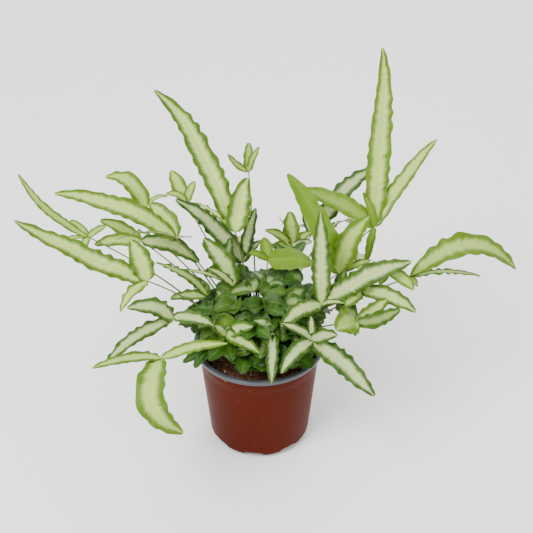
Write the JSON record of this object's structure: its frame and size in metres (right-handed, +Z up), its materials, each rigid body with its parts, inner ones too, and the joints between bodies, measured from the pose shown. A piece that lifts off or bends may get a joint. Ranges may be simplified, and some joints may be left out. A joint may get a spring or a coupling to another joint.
{
  "type": "potted fern",
  "caption": "Variegated brake fern with arching wiry stalks and long strap leaflets, growing from peat soil in a round two-coloured nursery pot.",
  "frame": {"origin": "on the surface the pot stands on, under the middle of the whole plant's bounding box; the pot's axis stands at x -10 mm, y -20.5 mm", "axes": "+Z up, +X to the plant's right as seen from its front, +Y to its back; the longest spread of the fronds is along X"},
  "size_m": [0.4349, 0.2993, 0.3402],
  "materials": {
    "pot_plastic": "satin terracotta outside, grey inside and on the lip",
    "potting_soil": "rough peat with bark fibres and perlite",
    "rhizome": "rough, scaly",
    "leaf": "satin, pale cream-green centre with green margins",
    "young_leaf": "satin, dark green with a pale stripe"
  },
  "bodies": {
    "root": {"frond_back_far_left": "leaf", "frond_back_far_right": "leaf", "frond_back_left": "leaf", "frond_back_middle": "leaf", "frond_back_right": "leaf", "frond_centre_cluster": "leaf", "frond_centre_left": "leaf", "frond_centre_lime": "leaf", "frond_centre_rear": "leaf", "frond_drooping": "leaf", "frond_far_left": "leaf", "frond_far_right": "leaf", "frond_front_left": "leaf", "frond_front_low": "leaf", "frond_front_middle": "leaf", "frond_front_right": "leaf", "frond_left_curled": "leaf", "frond_left_high": "leaf", "frond_left_inner": "leaf", "frond_left_long": "leaf", "frond_left_rear": "leaf", "frond_left_ribbon": "leaf", "frond_right_broad": "leaf", "frond_right_lime": "leaf", "frond_right_long": "leaf", "frond_right_low": "leaf", "frond_right_middle": "leaf", "frond_right_rear": "leaf", "frond_tall_left": "leaf", "frond_tall_right": "leaf", "pot": "pot_plastic", "potting_soil": "potting_soil", "rhizome": "rhizome", "sprig_top": "leaf", "young_frond_1": "young_leaf", "young_frond_10": "young_leaf", "young_frond_11": "young_leaf", "young_frond_12": "young_leaf", "young_frond_13": "young_leaf", "young_frond_14": "young_leaf", "young_frond_2": "young_leaf", "young_frond_3": "young_leaf", "young_frond_4": "young_leaf", "young_frond_5": "young_leaf", "young_frond_6": "young_leaf", "young_frond_7": "young_leaf", "young_frond_8": "young_leaf", "young_frond_9": "young_leaf"}
  },
  "joints": []
}
